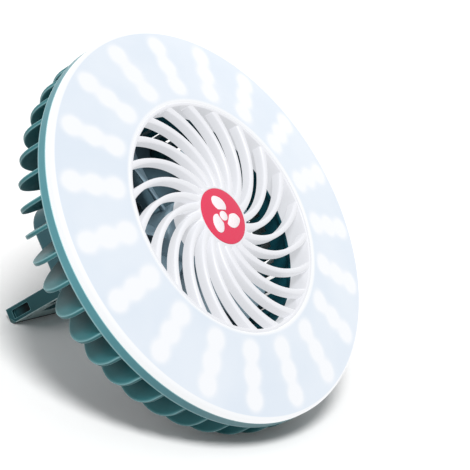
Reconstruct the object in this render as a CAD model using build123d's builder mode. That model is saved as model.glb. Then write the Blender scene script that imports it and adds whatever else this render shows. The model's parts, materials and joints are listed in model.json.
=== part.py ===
"""Portable camping fan with a ring of lights, leaning back on its fold-out stand.

Everything on the head is laid out on the `head` plane: its origin is the centre of the rim's
front edge, x runs to the right, y up the face and z straight out of the front. Depths behind
that plane are written as positive numbers. The row's own frame stands on the floor, +Z up.
"""

from build123d import *
from math import atan2, cos, degrees, hypot, radians, sin, sqrt
import os

os.makedirs("parts", exist_ok=True)

# ---------------------------------------------------------------- driving dimensions, in mm
lean_angle = 45.5  # the face looks this many degrees above the horizon

# finned housing
rim_radius = 115.0
rim_wall = 2.5
band_depth = 6.5
flange_thickness = 2.0
drum_bore_radius = 68.0
drum_wall = 2.5
drum_depth = 40.0
fin_count = 45
fin_thickness = 2.4
fin_swirl = 24.0  # degrees between a fin and the radius through its outer edge
fin_first_azimuth = 2.0
fin_setback = 0.6  # outer edges of the fins stay inside the rim by this much
fin_straight = 13.0  # depth where a fin's outer edge starts to round
fin_depth = 38.0
window_width = 4.4
window_rear_margin = 4.0
window_height = 20.0
grille_ledge = 2.0
ledge_reach = 2.4
lug_radius = 4.6
lug_height = 9.0
lug_cap = 1.0  # solid end in front of a lug's screw hole
lug_spacing_x = 64.0
lug_spacing_y = 112.0

# light ring
diffuser_wall = 1.9
rim_wall_height = 5.2
rim_round = 1.7
diffuser_rise = 8.6  # how far the cone rises from the rim to the opening
diffuser_lip = 1.8
board_thickness = 1.5
board_margin = 1.0
reflector_thickness = 0.5
led_rows = 19
led_per_row = 3
led_inner_margin = 6.8  # from the board's inner edge to the middle of a row's first light
led_outer_margin = 7.0
led_first_azimuth = 7.6
led_size = 3.0
led_height = 0.9
led_hole_radius = 2.6
gasket_width = 1.4
gasket_height = 4.0

# front grille and badge
grille_gap = 0.3
grille_seat = 1.5  # depth of the ring's rear edge and of the drum's front edge
grille_ring_wall = 1.9
vane_count = 22
vane_thickness_hub = 4.6
vane_thickness_ring = 4.0
vane_waist = 1.3  # halfway along, a vane is this much thinner than the mean of its two ends
vane_front = 13.3  # height of the vanes' front edges above the rim
vane_depth = 6.7
vane_sweep = 43.0  # degrees that a vane turns between the hub and the ring
vane_hub_azimuth = 151.6
vane_root = 0.5  # how far the vanes start inside the hub
hub_height = 12.3
hub_radius = 17.6
hub_skirt = 5.5
hub_skirt_drop = 5.3
hub_rear_depth = 2.0
badge_radius = 16.4
badge_slack = 0.2
badge_thickness = 1.2
badge_edge_round = 0.4
symbol_blades = 3
symbol_blade_length = 8.6
symbol_blade_width = 6.4
symbol_blade_offset = 8.0
symbol_hub_radius = 2.9
symbol_gap = 0.7
symbol_thickness = 0.3

# fan rotor and motor
fan_blades = 7
fan_radius = 61.0
fan_hub_radius = 20.0
fan_hub_wall = 1.8
fan_hub_front_depth = 10.5
fan_hub_face = 2.0
fan_hub_height = 22.5
blade_mid_depth = 20.5
blade_root_chord = 20.0
blade_tip_chord = 31.0
blade_root_thickness = 2.6
blade_tip_thickness = 1.6
blade_root_pitch = 42.0
blade_tip_pitch = 24.0
shaft_radius = 1.5
shaft_running_clearance = 0.05
shaft_end_gap = 0.4
clip_thickness = 0.6
clip_gap = 0.2
clip_slack = 0.6
hub_boss_radius = 4.5
hub_boss_height = 3.7
can_wall = 1.6
can_height = 19.5
magnet_wall = 0.9
magnet_height = 13.0
air_gap = 0.6
stator_height = 9.0
stator_poles = 9
stator_core_wall = 2.5
tooth_width = 2.4
tooth_overlap = 0.5
shoe_depth = 1.7
shoe_gap = 1.8
coil_overhang = 2.0
coil_width = 5.2
coil_end_gap = 0.4
coil_front_gap = 1.5
bearing_radius = 3.5
bearing_height = 2.5
bearing_wall = 2.0
bearing_inset = 0.5
rear_bearing_inset = 1.4
tube_flange_radius = 14.0
tube_flange_height = 2.0
tube_top_gap = 0.3
motor_screw_circle = 10.0
motor_screw_radius = 1.0
motor_screw_head_radius = 1.9
motor_screw_head_height = 1.4
motor_screws_count = 3

# motor plate and its screws
plate_thickness = 2.0
cable_hole_radius = 3.0
cable_hole_height = 28.0
screw_radius = 1.5
screw_head_radius = 2.8
screw_head_height = 2.0
screw_slack = 0.1
screw_end_gap = 1.0
screw_tip_recess = 0.4

# rear pod
pod_width = 124.0
pod_top = 45.0
pod_bottom = -38.0
pod_depth = 64.0
pod_wall = 2.2
pod_top_corner = 14.0
pod_bottom_corner = 22.0
pod_edge_round = 3.0
pod_boss_radius = 4.0
pod_top_boss = (50.0, 33.0)
pod_bottom_boss = (52.0, -11.0)

# battery and electronics
cell_radius = 9.2
cell_length = 65.0
cell_count = 3
cell_spacing = 34.0
cell_low_end = -33.0
contact_thickness = 0.5
contact_size = 8.0
cradle_base = 0.8
cradle_wall = 1.5
cradle_wall_height = 13.0
cradle_side_margin = 0.6
board_length = 88.0
main_board_width = 16.0
main_board_thickness = 1.6
main_board_height = 36.0  # height of its underside up the face
chip_xs = (-4.0, 24.0, 36.0)
chip_height = 1.9
chip_size = 6.0
usb_x = 8.0
usb_width = 9.0
usb_height = 3.2
usb_wall = 0.3
usb_slack = 0.2
usb_tongue_thickness = 0.7
usb_tongue_width = 6.6
usb_back_wall = 1.2
button_board_margin = 10.0  # from the board's end to the first button
button_spacing = 18.0
button_radius = 4.5
button_slack = 0.15
button_proud = 1.2
button_edge_round = 0.6
button_flange_reach = 0.9
button_flange_height = 1.2
button_stem_radius = 1.5
button_travel = 0.9
stem_gap = 0.2  # left under a fully pressed button
switch_size = 6.0
switch_height = 2.0
plunger_radius = 1.6
plunger_height = 0.4
lens_count = 4
lens_board_margin = 3.0  # from the board's other end to the last lens
lens_spacing = 5.0
lens_radius = 1.0
lens_proud = 0.2

# stand
stand_width = 50.6
arm_width = 9.1
arm_height = 9.2
arm_wall = 2.4
arm_centre_height = 5.7  # height of the arms' middle, and of the hinge, up the face
foot_depth = 15.5
channel_end_gap = 14.0  # solid length of an arm in front of the crossbar
channel_start_gap = 1.0
pocket_length = 14.0
pocket_height = 5.0
pocket_round = 1.0
pocket_depth = 1.6
pocket_end_wall = 4.0
pivot_standoff = 5.5
pin_radius = 2.0
pin_running_clearance = 0.05
pin_recess = 0.4
hinge_block_radius = 5.2
washer_thickness = 0.5
washer_radius = 4.2
hinge_side_gap = 0.3
heel_gap = 0.2
grip_height = 1.8
grip_sink = 1.0  # how far the bar's corner would reach below the floor without its bevel

# ---------------------------------------------------------------- placing the head
lean = radians(lean_angle)
swirl = radians(fin_swirl)
fin_reach = rim_radius - fin_setback
drum_radius = drum_bore_radius + drum_wall
drum_mid_radius = drum_bore_radius + drum_wall / 2
fin_width = fin_reach * cos(swirl) - sqrt(drum_mid_radius**2 - (fin_reach * sin(swirl)) ** 2)
fin_lag = degrees(atan2(fin_width * sin(swirl), fin_reach - fin_width * cos(swirl)))
fin_pitch = 360 / fin_count


def fin_low_point(azimuth):
    """Height of a fin's lowest point against the rim's centre, once the head leans back."""
    across = cos(lean) * -sin(radians(azimuth) + swirl)
    half_width = fin_width / 2
    round_depth = fin_depth - fin_straight
    outer_edge = fin_reach * sin(radians(azimuth)) * cos(lean)
    belly = half_width * across - fin_straight * sin(lean)
    bulge = hypot(half_width * across, round_depth * sin(lean))
    side = fin_thickness / 2 * abs(cos(radians(azimuth) + swirl)) * cos(lean)
    return outer_edge + belly - bulge - side


fin_azimuths = [fin_first_azimuth + fin_pitch * index for index in range(fin_count)]
head_height = -min(fin_low_point(azimuth) for azimuth in fin_azimuths)

arm_low = arm_centre_height - arm_height / 2
arm_high = arm_centre_height + arm_height / 2
stand_reach = (head_height + grip_sink + arm_low * cos(lean)) / sin(lean)

front_reach = (rim_radius - rim_round) * sin(lean) + (rim_wall_height - rim_round) * cos(lean) + rim_round
rear_reach = arm_high * sin(lean) + stand_reach * cos(lean)
head_setback = (front_reach - rear_reach) / 2

head = Plane(
    origin=(0, head_setback, head_height),
    x_dir=(1, 0, 0),
    z_dir=(0, -cos(lean), sin(lean)),
)
section = Plane(origin=head.origin, x_dir=head.x_dir, z_dir=-head.y_dir)
spin_axis = Axis(head.origin, head.z_dir)


def behind(depth):
    """Plane parallel to the face, this far behind the rim's front edge."""
    return head.offset(-depth)


def beside(x):
    """Plane across the head at this x; its x runs up the face and its y out of the front."""
    return Plane(origin=head.from_local_coords((x, 0, 0)), x_dir=head.y_dir, z_dir=head.x_dir)


def above(height):
    """Plane square to the face at this height up it; its x is the head's and its y is depth."""
    return Plane(origin=head.from_local_coords((0, height, 0)), x_dir=head.x_dir, z_dir=head.y_dir)


def ring(inner, outer, front, rear):
    """Plain ring about the head's axis between two depths."""
    with BuildPart() as piece:
        with BuildSketch(behind(rear)):
            Circle(outer)
            Circle(inner, mode=Mode.SUBTRACT)
        extrude(amount=rear - front)
    return piece


# ---------------------------------------------------------------- finned housing
board_seat = band_depth - flange_thickness  # depth of the flange's front face
fin_root = board_seat + flange_thickness / 2

with BuildPart() as fin:
    fin_plane = Plane(
        origin=(fin_reach, 0, 0),
        x_dir=(-cos(swirl), -sin(swirl), 0),
        z_dir=(-sin(swirl), cos(swirl), 0),
    )
    with BuildSketch(fin_plane):
        with BuildLine():
            Line((0, -fin_root), (0, -fin_straight))
            EllipticalCenterArc(
                (fin_width / 2, -fin_straight),
                fin_width / 2,
                fin_depth - fin_straight,
                start_angle=180,
                arc_size=180,
            )
            Line((fin_width, -fin_straight), (fin_width, -fin_root))
            Line((fin_width, -fin_root), (0, -fin_root))
        make_face()
    extrude(amount=fin_thickness / 2, both=True)

with BuildPart(head) as finned_housing:
    with BuildSketch(behind(band_depth)):
        Circle(rim_radius)
        Circle(rim_radius - rim_wall, mode=Mode.SUBTRACT)
    extrude(amount=band_depth)
    with BuildSketch(behind(band_depth)):
        Circle(rim_radius - rim_wall / 2)
        Circle(drum_bore_radius, mode=Mode.SUBTRACT)
    extrude(amount=flange_thickness)
    with PolarLocations(0, fin_count, start_angle=fin_first_azimuth):
        add(fin.part)
    with BuildSketch(behind(drum_depth)):
        Circle(drum_radius)
        Circle(drum_bore_radius, mode=Mode.SUBTRACT)
    extrude(amount=drum_depth - grille_seat)
    window_azimuth = fin_first_azimuth - fin_lag + fin_pitch / 2
    window_depth = drum_depth - window_rear_margin - window_height / 2
    with PolarLocations(drum_mid_radius, fin_count, start_angle=window_azimuth):
        with Locations((0, 0, -window_depth)):
            Box(2 * drum_wall, window_width, window_height, mode=Mode.SUBTRACT)
    with BuildSketch(behind(grille_seat + grille_ledge)):
        Circle(drum_mid_radius)
        Circle(drum_bore_radius - ledge_reach, mode=Mode.SUBTRACT)
    extrude(amount=grille_ledge)
    with BuildSketch(behind(drum_depth)):
        with GridLocations(lug_spacing_x, lug_spacing_y, 2, 2):
            Circle(lug_radius)
    extrude(amount=lug_height)
    with BuildSketch(behind(drum_depth)):
        with GridLocations(lug_spacing_x, lug_spacing_y, 2, 2):
            Circle(screw_radius)
    extrude(amount=lug_height - lug_cap, mode=Mode.SUBTRACT)

# ---------------------------------------------------------------- light ring
board_inner = drum_radius + board_margin
board_outer = rim_radius - rim_wall - board_margin
board_front = board_seat - board_thickness
reflector_front = board_front - reflector_thickness
led_first_radius = board_inner + led_inner_margin
led_pitch = (board_outer - led_outer_margin - led_first_radius) / (led_per_row - 1)

led_board = ring(board_inner, board_outer, board_front, board_seat)

with BuildPart() as led_reflector:
    with BuildSketch(behind(board_front)):
        Circle(board_outer)
        Circle(board_inner, mode=Mode.SUBTRACT)
        for row_index in range(led_per_row):
            with PolarLocations(led_first_radius + row_index * led_pitch, led_rows, led_first_azimuth):
                Circle(led_hole_radius, mode=Mode.SUBTRACT)
    extrude(amount=reflector_thickness)

with BuildPart() as led_chips:
    with BuildSketch(behind(board_front)):
        for row_index in range(led_per_row):
            with PolarLocations(led_first_radius + row_index * led_pitch, led_rows, led_first_azimuth):
                Rectangle(led_size, led_size)
    extrude(amount=led_height)

cone_foot = (rim_radius - rim_round, rim_wall_height)
cone_top_z = rim_wall_height + diffuser_rise
lip_outer = drum_bore_radius + diffuser_lip
with BuildPart() as light_diffuser:
    with BuildSketch(section):
        with BuildLine():
            Line((rim_radius, 0), (rim_radius, rim_wall_height - rim_round))
            RadiusArc(
                (rim_radius, rim_wall_height - rim_round),
                cone_foot,
                -rim_round,
            )
            Line(cone_foot, (lip_outer, cone_top_z))
            Line((lip_outer, cone_top_z), (drum_bore_radius, cone_top_z))
            Line((drum_bore_radius, cone_top_z), (drum_bore_radius, -grille_seat))
            Line((drum_bore_radius, -grille_seat), (lip_outer, -grille_seat))
            Line((lip_outer, -grille_seat), (lip_outer, cone_top_z - diffuser_wall))
            inner_corner = (rim_radius - rim_wall, rim_wall_height - diffuser_wall)
            Line((lip_outer, cone_top_z - diffuser_wall), inner_corner)
            Line(inner_corner, (rim_radius - rim_wall, 0))
            Line((rim_radius - rim_wall, 0), (rim_radius, 0))
        make_face()
    revolve(axis=spin_axis)

gasket_outer = rim_radius - rim_wall
rim_gasket = ring(gasket_outer - gasket_width, gasket_outer, -gasket_height / 2, gasket_height / 2)

# ---------------------------------------------------------------- front grille and badge
grille_outer = drum_bore_radius - grille_gap
grille_inner = grille_outer - grille_ring_wall
vane_outer = grille_outer - grille_ring_wall / 2
vane_inner = hub_radius - vane_root
vane_steps = (0.0, 1 / 3, 2 / 3, 1.0)


def vane_side(step, side):
    """Point on a vane's side: step 0 is at the hub and 1 at the ring, side is -1 or 1."""
    radius = vane_inner + (vane_outer - vane_inner) * step
    thickness = vane_thickness_hub + (vane_thickness_ring - vane_thickness_hub) * step
    thickness -= vane_waist * 4 * step * (1 - step)
    slope = radians(vane_sweep) * radius / (vane_outer - vane_inner)
    half_angle = thickness / 2 * hypot(1, slope) / radius
    azimuth = radians(vane_hub_azimuth + vane_sweep * step) + side * half_angle
    return (radius * cos(azimuth), radius * sin(azimuth))


with BuildPart() as front_grille:
    with BuildSketch(behind(vane_depth - vane_front)):
        with BuildLine():
            left = Spline(*[vane_side(step, -1) for step in vane_steps])
            right = Spline(*[vane_side(step, 1) for step in vane_steps])
            Line(left @ 0, right @ 0)
            Line(left @ 1, right @ 1)
        vane_face = make_face()
        for index in range(1, vane_count):
            add(vane_face, rotation=360 / vane_count * index)
    extrude(amount=vane_depth)
    with BuildSketch(section):
        with BuildLine():
            Polyline(
                (0, hub_height),
                (badge_radius + badge_slack, hub_height),
                (badge_radius + badge_slack, vane_front),
                (hub_radius, vane_front),
                (hub_radius + hub_skirt, hub_height - hub_skirt_drop),
                (hub_radius + hub_skirt, -hub_rear_depth),
                (0, -hub_rear_depth),
                close=True,
            )
        make_face()
    revolve(axis=spin_axis)
    with BuildSketch(behind(grille_seat)):
        Circle(grille_outer)
        Circle(grille_inner, mode=Mode.SUBTRACT)
    extrude(amount=grille_seat + cone_top_z - grille_gap)

with BuildPart() as hub_badge:
    with BuildSketch(behind(-hub_height)):
        Circle(badge_radius)
    extrude(amount=badge_thickness)
    fillet(hub_badge.faces().sort_by(spin_axis)[-1].edges(), badge_edge_round)

with BuildPart() as badge_symbol:
    with BuildSketch(behind(-hub_height - badge_thickness)):
        with PolarLocations(symbol_blade_offset, symbol_blades, start_angle=90):
            Ellipse(symbol_blade_length / 2, symbol_blade_width / 2)
        Circle(symbol_hub_radius + symbol_gap, mode=Mode.SUBTRACT)
        Circle(symbol_hub_radius)
    extrude(amount=symbol_thickness)

# ---------------------------------------------------------------- fan rotor and motor
plate_front = drum_depth
plate_rear = drum_depth + plate_thickness
can_outer = fan_hub_radius - fan_hub_wall
can_inner = can_outer - can_wall
magnet_inner = can_inner - magnet_wall
stator_radius = magnet_inner - air_gap
can_front = fan_hub_front_depth + fan_hub_face
boss_rear = can_front + hub_boss_height
tube_top = boss_rear + tube_top_gap
tube_radius = bearing_radius + bearing_wall
stator_front = tube_top + coil_front_gap + coil_overhang
stator_rear = stator_front + stator_height
rear_bearing_rear = drum_depth - rear_bearing_inset


def blade_section(radius, pitch):
    """Plane across a blade at this radius, its x along the chord."""
    chord_direction = (0, cos(radians(pitch)), sin(radians(pitch)))
    return Plane(origin=(radius, 0, -blade_mid_depth), x_dir=chord_direction, z_dir=(1, 0, 0))


with BuildPart() as fan_blade:
    with BuildSketch(blade_section(fan_hub_radius - fan_hub_wall / 2, blade_root_pitch)):
        SlotOverall(blade_root_chord, blade_root_thickness)
    with BuildSketch(blade_section(fan_radius, blade_tip_pitch)):
        SlotOverall(blade_tip_chord, blade_tip_thickness)
    loft()

with BuildPart(head) as fan_rotor:
    with BuildSketch(section):
        with BuildLine():
            Polyline(
                (shaft_radius, -fan_hub_front_depth),
                (fan_hub_radius, -fan_hub_front_depth),
                (fan_hub_radius, -fan_hub_front_depth - fan_hub_height),
                (can_outer, -fan_hub_front_depth - fan_hub_height),
                (can_outer, -can_front),
                (hub_boss_radius, -can_front),
                (hub_boss_radius, -boss_rear),
                (shaft_radius, -boss_rear),
                close=True,
            )
        make_face()
    revolve(axis=spin_axis)
    with PolarLocations(0, fan_blades):
        add(fan_blade.part)

motor_can = ring(can_inner, can_outer, can_front, can_front + can_height)
magnet_front = (stator_front + stator_rear - magnet_height) / 2
rotor_magnet = ring(magnet_inner, can_inner, magnet_front, magnet_front + magnet_height)

with BuildPart() as motor_shaft:
    with BuildSketch(behind(drum_depth - shaft_end_gap)):
        Circle(shaft_radius)
    extrude(amount=drum_depth - shaft_end_gap - fan_hub_front_depth)

bearing_bore = shaft_radius + shaft_running_clearance
front_bearing_front = tube_top + bearing_inset
front_bearing_rear = front_bearing_front + bearing_height
front_bearing = ring(bearing_bore, bearing_radius, front_bearing_front, front_bearing_rear)
rear_bearing = ring(bearing_bore, bearing_radius, rear_bearing_rear - bearing_height, rear_bearing_rear)
clip_front = rear_bearing_rear + clip_gap
shaft_clip = ring(shaft_radius, bearing_radius - clip_slack, clip_front, clip_front + clip_thickness)

with BuildPart() as bearing_tube:
    with BuildSketch(behind(plate_front)):
        Circle(tube_flange_radius)
        Circle(bearing_radius, mode=Mode.SUBTRACT)
        with PolarLocations(motor_screw_circle, motor_screws_count):
            Circle(motor_screw_radius, mode=Mode.SUBTRACT)
    extrude(amount=tube_flange_height)
    with BuildSketch(behind(plate_front)):
        Circle(tube_radius)
        Circle(bearing_radius, mode=Mode.SUBTRACT)
    extrude(amount=plate_front - tube_top)

shoe_inner = stator_radius - shoe_depth
core_radius = tube_radius + stator_core_wall
with BuildPart() as stator_core:
    with BuildSketch(behind(stator_rear)):
        Circle(stator_radius)
        Circle(shoe_inner, mode=Mode.SUBTRACT)
        with PolarLocations((shoe_inner + stator_radius) / 2, stator_poles, start_angle=180 / stator_poles):
            Rectangle(2 * shoe_depth, shoe_gap, mode=Mode.SUBTRACT)
        with PolarLocations((tube_radius + shoe_inner) / 2 + tooth_overlap, stator_poles):
            Rectangle(shoe_inner - tube_radius, tooth_width)
        Circle(core_radius)
        Circle(tube_radius, mode=Mode.SUBTRACT)
    extrude(amount=stator_height)

coil_length = shoe_inner - core_radius - 2 * coil_end_gap
with BuildPart(head) as stator_coils:
    with PolarLocations((shoe_inner + core_radius) / 2, stator_poles):
        with Locations((0, 0, -(stator_front + stator_rear) / 2)):
            Box(coil_length, coil_width, stator_height + 2 * coil_overhang)
            Box(coil_length, tooth_width, stator_height, mode=Mode.SUBTRACT)

with BuildPart() as motor_screws:
    with BuildSketch(behind(plate_rear - screw_tip_recess)):
        with PolarLocations(motor_screw_circle, motor_screws_count):
            Circle(motor_screw_radius)
    extrude(amount=plate_thickness - screw_tip_recess + tube_flange_height)
    with BuildSketch(behind(plate_front - tube_flange_height)):
        with PolarLocations(motor_screw_circle, motor_screws_count):
            Circle(motor_screw_head_radius)
    extrude(amount=motor_screw_head_height)

# ---------------------------------------------------------------- motor plate and its screws
pod_screw_points = [
    pod_top_boss,
    (-pod_top_boss[0], pod_top_boss[1]),
    pod_bottom_boss,
    (-pod_bottom_boss[0], pod_bottom_boss[1]),
]

with BuildPart() as motor_plate:
    with BuildSketch(behind(plate_rear)):
        Circle(drum_radius)
        with GridLocations(lug_spacing_x, lug_spacing_y, 2, 2):
            Circle(screw_radius + screw_slack, mode=Mode.SUBTRACT)
        with Locations(*pod_screw_points):
            Circle(screw_radius, mode=Mode.SUBTRACT)
        with PolarLocations(motor_screw_circle, motor_screws_count):
            Circle(motor_screw_radius, mode=Mode.SUBTRACT)
        with Locations((0, cable_hole_height)):
            Circle(cable_hole_radius, mode=Mode.SUBTRACT)
    extrude(amount=plate_thickness)

with BuildPart() as plate_screws:
    with BuildSketch(behind(plate_rear)):
        with GridLocations(lug_spacing_x, lug_spacing_y, 2, 2):
            Circle(screw_radius)
    extrude(amount=plate_thickness + lug_height - lug_cap - screw_end_gap)
    with BuildSketch(behind(plate_rear + screw_head_height)):
        with GridLocations(lug_spacing_x, lug_spacing_y, 2, 2):
            Circle(screw_head_radius)
    extrude(amount=screw_head_height)

# ---------------------------------------------------------------- rear pod
pod_height = pod_top - pod_bottom
pod_centre = (pod_top + pod_bottom) / 2
pod_mid_depth = (plate_rear + pod_depth) / 2
pod_ceiling = pod_top - pod_wall  # inner face of the top wall, up the face
pivot_depth = pod_depth + pivot_standoff
arm_inner_x = stand_width / 2 - arm_width
block_half_width = arm_inner_x - hinge_side_gap - washer_thickness
block_root_depth = pod_depth - pod_wall / 2  # the hinge block reaches halfway into the wall
fan_button_x = button_board_margin - board_length / 2
light_button_x = fan_button_x + button_spacing
button_points = [(fan_button_x, pod_mid_depth), (light_button_x, pod_mid_depth)]
last_lens_x = board_length / 2 - lens_board_margin
lens_points = [(last_lens_x - lens_spacing * index, pod_mid_depth) for index in range(lens_count)]

with BuildPart() as rear_pod:
    with BuildSketch(behind(pod_depth)) as pod_outline:
        with Locations((0, pod_centre)):
            Rectangle(pod_width, pod_height)
        fillet(pod_outline.vertices().sort_by(Axis.Y)[-2:], pod_top_corner)
        fillet(pod_outline.vertices().sort_by(Axis.Y)[:2], pod_bottom_corner)
    extrude(amount=pod_depth - plate_rear)
    fillet(rear_pod.faces().sort_by(spin_axis)[0].edges(), pod_edge_round)
    with BuildSketch(behind(pod_depth - pod_wall)) as pod_cavity:
        with Locations((0, pod_centre)):
            Rectangle(pod_width - 2 * pod_wall, pod_height - 2 * pod_wall)
        fillet(pod_cavity.vertices().sort_by(Axis.Y)[-2:], pod_top_corner - pod_wall)
        fillet(pod_cavity.vertices().sort_by(Axis.Y)[:2], pod_bottom_corner - pod_wall)
    extrude(amount=pod_depth - pod_wall - plate_rear, mode=Mode.SUBTRACT)
    with BuildSketch(behind(pod_depth - pod_wall)):
        with Locations(*pod_screw_points):
            Circle(pod_boss_radius)
    extrude(amount=pod_depth - pod_wall - plate_rear)
    with BuildSketch(behind(pod_depth)):
        with Locations(*pod_screw_points):
            Circle(screw_radius + screw_slack)
    extrude(amount=pod_depth - plate_rear, mode=Mode.SUBTRACT)
    with BuildSketch(behind(pod_depth)):
        with Locations(*pod_screw_points):
            Circle(screw_head_radius + screw_slack)
    extrude(amount=screw_head_height, mode=Mode.SUBTRACT)
    with BuildSketch(beside(-block_half_width)):
        with Locations((arm_centre_height, -pivot_depth)):
            Circle(hinge_block_radius)
        with Locations((arm_centre_height, -(pivot_depth + block_root_depth) / 2)):
            Rectangle(2 * hinge_block_radius, pivot_depth - block_root_depth)
    extrude(amount=2 * block_half_width)
    with BuildSketch(beside(-block_half_width)):
        with Locations((arm_centre_height, -pivot_depth)):
            Circle(pin_radius)
    extrude(amount=2 * block_half_width, mode=Mode.SUBTRACT)
    with BuildSketch(above(pod_top)):
        with Locations(*button_points):
            Circle(button_radius + button_slack)
        with Locations((usb_x, pod_mid_depth)):
            SlotOverall(usb_width + 2 * usb_slack, usb_height + 2 * usb_slack)
        with Locations(*lens_points):
            Circle(lens_radius)
    extrude(amount=-pod_wall, mode=Mode.SUBTRACT)

with BuildPart() as pod_screws:
    with BuildSketch(behind(pod_depth - screw_head_height)):
        with Locations(*pod_screw_points):
            Circle(screw_radius)
    extrude(amount=pod_depth - screw_head_height - plate_front - screw_tip_recess)
    with BuildSketch(behind(pod_depth)):
        with Locations(*pod_screw_points):
            Circle(screw_head_radius)
    extrude(amount=screw_head_height)

# ---------------------------------------------------------------- battery and electronics
cell_high_end = cell_low_end + cell_length
cell_depth = plate_rear + cradle_base + cell_radius
cell_xs = [cell_spacing * (index - (cell_count - 1) / 2) for index in range(cell_count)]
cell_points = [(x, cell_depth) for x in cell_xs]
cradle_half_width = cell_xs[-1] + cell_radius + cradle_side_margin
board_top = main_board_height + main_board_thickness

with BuildPart() as battery_cells:
    with BuildSketch(above(cell_low_end)):
        with Locations(*cell_points):
            Circle(cell_radius)
    extrude(amount=cell_length)

with BuildPart() as cell_contacts:
    for contact_height in (cell_low_end - contact_thickness, cell_high_end):
        with BuildSketch(above(contact_height)):
            with Locations(*cell_points):
                Rectangle(contact_size, contact_size)
        extrude(amount=contact_thickness)

with BuildPart() as cell_cradle:
    cradle_low = cell_low_end - contact_thickness - cradle_wall
    cradle_high = cell_high_end + contact_thickness + cradle_wall
    with BuildSketch(behind(plate_rear + cradle_base)):
        with Locations((0, (cradle_low + cradle_high) / 2)):
            Rectangle(2 * cradle_half_width, cradle_high - cradle_low)
    extrude(amount=cradle_base)
    with BuildSketch(behind(plate_rear + cradle_wall_height)):
        with Locations((0, cradle_low + cradle_wall / 2), (0, cradle_high - cradle_wall / 2)):
            Rectangle(2 * cradle_half_width, cradle_wall)
    extrude(amount=cradle_wall_height)

with BuildPart() as main_board:
    with BuildSketch(above(main_board_height)):
        with Locations((0, pod_mid_depth)):
            Rectangle(board_length, main_board_width)
    extrude(amount=main_board_thickness)

with BuildPart() as board_chips:
    with BuildSketch(above(board_top)):
        with Locations(*[(x, pod_mid_depth) for x in chip_xs]):
            Rectangle(chip_size, chip_size)
    extrude(amount=chip_height)

with BuildPart() as usb_c_socket:
    with BuildSketch(above(board_top)):
        with Locations((usb_x, pod_mid_depth)):
            SlotOverall(usb_width, usb_height)
    extrude(amount=pod_top - board_top)
    with BuildSketch(above(board_top + usb_back_wall)):
        with Locations((usb_x, pod_mid_depth)):
            SlotOverall(usb_width - 2 * usb_wall, usb_height - 2 * usb_wall)
            Rectangle(usb_tongue_width, usb_tongue_thickness, mode=Mode.SUBTRACT)
    extrude(amount=pod_top - board_top - usb_back_wall, mode=Mode.SUBTRACT)

switch_top = board_top + switch_height
stem_bottom = switch_top + button_travel + stem_gap


def push_button(x):
    """Round button with the flange that keeps it in the pod and the stem that meets its switch."""
    flange_top = pod_ceiling
    with BuildPart() as button:
        with BuildSketch(above(flange_top - button_flange_height)):
            with Locations((x, pod_mid_depth)):
                Circle(button_radius)
        extrude(amount=button_flange_height + pod_wall + button_proud)
        fillet(button.faces().sort_by(Axis(head.origin, head.y_dir))[-1].edges(), button_edge_round)
        with BuildSketch(above(flange_top - button_flange_height)):
            with Locations((x, pod_mid_depth)):
                Circle(button_radius + button_flange_reach)
        extrude(amount=button_flange_height)
        with BuildSketch(above(stem_bottom)):
            with Locations((x, pod_mid_depth)):
                Circle(button_stem_radius)
        extrude(amount=flange_top - button_flange_height - stem_bottom)
    return button


fan_button = push_button(fan_button_x)
light_button = push_button(light_button_x)

with BuildPart() as tact_switches:
    with BuildSketch(above(board_top)):
        with Locations(*button_points):
            Rectangle(switch_size, switch_size)
    extrude(amount=switch_height - plunger_height)
    with BuildSketch(above(board_top)):
        with Locations(*button_points):
            Circle(plunger_radius)
    extrude(amount=switch_height)

with BuildPart() as charge_lenses:
    with BuildSketch(above(pod_top - pod_wall)):
        with Locations(*lens_points):
            Circle(lens_radius)
    extrude(amount=pod_wall + lens_proud)

# ---------------------------------------------------------------- stand
heel_depth = pod_depth + heel_gap
heel_length = pivot_depth - heel_depth
channel_end = stand_reach - foot_depth - channel_end_gap
sole_drop = grip_sink + grip_height  # the bevel's height above the bar's missing corner
arm_middle_x = (stand_width - arm_width) / 2
channel_start = pivot_depth + arm_height / 2 + channel_start_gap
arm_channel_points = [(side * arm_middle_x, arm_centre_height - arm_wall) for side in (-1, 1)]


def corner_cut(height):
    """Corner triangle of the foot, below a level line this high above the bar's lower rear corner."""
    return [
        (arm_low, -stand_reach),
        (arm_low + height / cos(lean), -stand_reach),
        (arm_low, -stand_reach + height / sin(lean)),
    ]


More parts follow.
